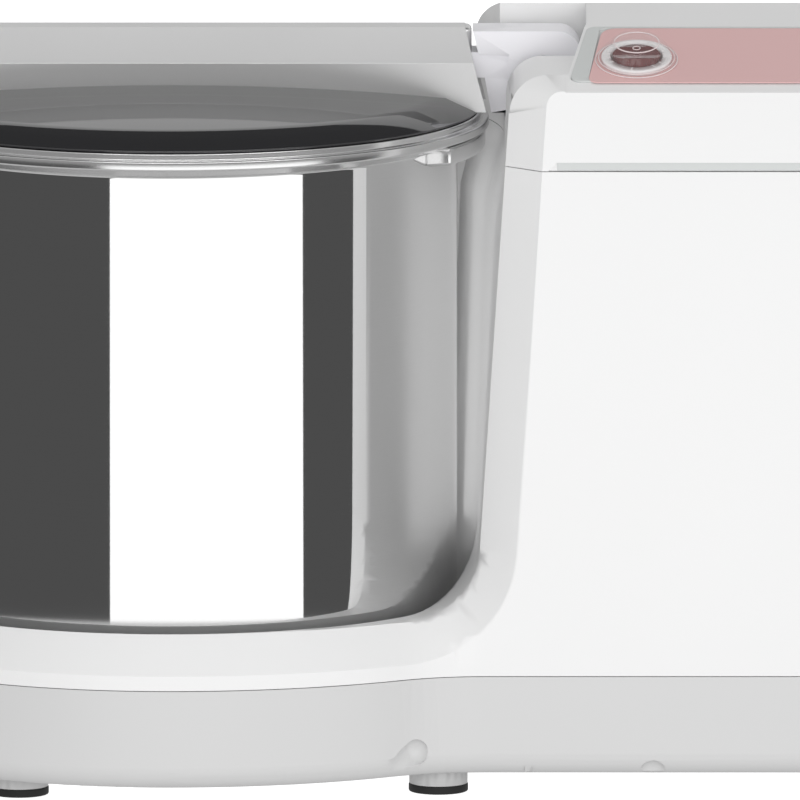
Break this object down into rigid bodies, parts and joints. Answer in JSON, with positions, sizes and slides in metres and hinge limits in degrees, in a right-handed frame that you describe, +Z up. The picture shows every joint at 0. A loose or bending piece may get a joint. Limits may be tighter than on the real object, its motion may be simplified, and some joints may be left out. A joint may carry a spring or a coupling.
{
  "type": "wet grinder",
  "caption": "Tabletop wet grinder with a mirror steel drum in a moulded body, conical stones held by a swinging arm, a domed lid and a belt drive.",
  "frame": {"origin": "middle of the footprint's bounding rectangle, on the surface that the feet stand on", "axes": "+X from the drum end to the control end, +Y from the front to the back, +Z up"},
  "size_m": [0.432, 0.264, 0.294],
  "materials": {
    "white_shell": "glossy white moulded plastic",
    "white_base": "glossy white moulded plastic, slightly greyer",
    "steel_drum": "mirror-polished stainless steel",
    "smoke_lid": "smoke-tinted glossy clear plastic",
    "silver_bar": "satin silver",
    "arm_white": "glossy white moulded plastic over steel",
    "bezel_grey": "satin light grey",
    "panel_rose": "satin dusty rose print on plastic",
    "switch_white": "glossy white plastic",
    "switch_maroon": "glossy translucent maroon plastic",
    "boot_clear": "clear silicone",
    "granite": "honed black granite",
    "steel_part": "machined steel",
    "alloy_cast": "die-cast alloy",
    "copper_wire": "enamelled copper winding",
    "black_rubber": "matt black rubber",
    "belt_rubber": "ribbed black belt rubber",
    "nylon_natural": "natural nylon",
    "dark_plastic": "satin black plastic"
  },
  "bodies": {
    "housing": {"base_pan": "white_base", "body_shell": "white_shell", "top_cover": "white_shell", "control_bezel": "bezel_grey", "control_panel": "panel_rose", "switch_ring": "switch_white", "switch_boot": "boot_clear", "bearing_housing": "alloy_cast", "upper_bearing": "steel_part", "lower_bearing": "steel_part", "spindle_seal": "black_rubber", "motor_plate": "steel_part", "motor_bracket_lower": "alloy_cast", "motor_bracket_upper": "alloy_cast", "motor_can": "steel_part", "motor_stator": "steel_part", "motor_windings": "copper_wire", "motor_bolts": "steel_part", "capacitor": "dark_plastic", "cord_inlet": "black_rubber", "rubber_feet": "black_rubber", "base_screws": "steel_part", "plate_screws": "steel_part", "housing_screws": "steel_part", "drive_belt": "belt_rubber", "arm_bracket": "steel_part", "arm_pin": "steel_part", "stone_holder": "steel_part", "roller_axles": "steel_part", "axle_nuts": "steel_part"},
    "drum": {"drum_vessel": "steel_drum", "base_stone": "granite", "drive_coupling": "steel_part", "drive_spindle": "steel_part", "spindle_pulley": "alloy_cast"},
    "roller_left": {"roller_stone_left": "granite", "roller_bush_left": "nylon_natural"},
    "roller_right": {"roller_stone_right": "granite", "roller_bush_right": "nylon_natural"},
    "rotor": {"motor_shaft": "steel_part", "motor_rotor": "steel_part", "motor_pulley": "alloy_cast", "motor_fan": "nylon_natural"},
    "arm": {"lock_arm": "arm_white", "arm_socket": "nylon_natural"},
    "lid": {"lid_dome": "smoke_lid", "lid_bridge": "silver_bar"},
    "rocker": {"switch_rocker": "switch_maroon"}
  },
  "joints": [
    {"name": "drum_spin", "type": "hinge", "parent": "housing", "child": "drum", "pos_m": [-0.084, 0, 0.06], "axis": [0, 0, 1], "continuous": true},
    {"name": "motor_spin", "type": "hinge", "parent": "housing", "child": "rotor", "pos_m": [0.124, 0, 0.1], "axis": [0, 0, 1], "continuous": true},
    {"name": "roller_left_spin", "type": "hinge", "parent": "housing", "child": "roller_left", "pos_m": [-0.084, 0, 0.0813], "axis": [-0.891, 0, 0.454], "continuous": true},
    {"name": "roller_right_spin", "type": "hinge", "parent": "housing", "child": "roller_right", "pos_m": [-0.084, 0, 0.0813], "axis": [0.891, 0, 0.454], "continuous": true},
    {"name": "arm_swing", "type": "hinge", "parent": "housing", "child": "arm", "pos_m": [0.059, 0, 0.271], "axis": [0, 1, 0], "range_deg": [0, 90]},
    {"name": "lid_lift", "type": "slide", "parent": "arm", "child": "lid", "axis": [0, 0, 1], "range_m": [0, 0.06]},
    {"name": "rocker_tilt", "type": "hinge", "parent": "housing", "child": "rocker", "pos_m": [0.0943, -0.07277, 0.28205], "axis": [1, 0, 0], "range_deg": [0, 18]}
  ],
  "couplings": [
    {"joint": "motor_spin", "follows": "drum_spin", "ratio": 4},
    {"joint": "roller_left_spin", "follows": "drum_spin", "ratio": 2.2027},
    {"joint": "roller_right_spin", "follows": "drum_spin", "ratio": 2.2027}
  ]
}
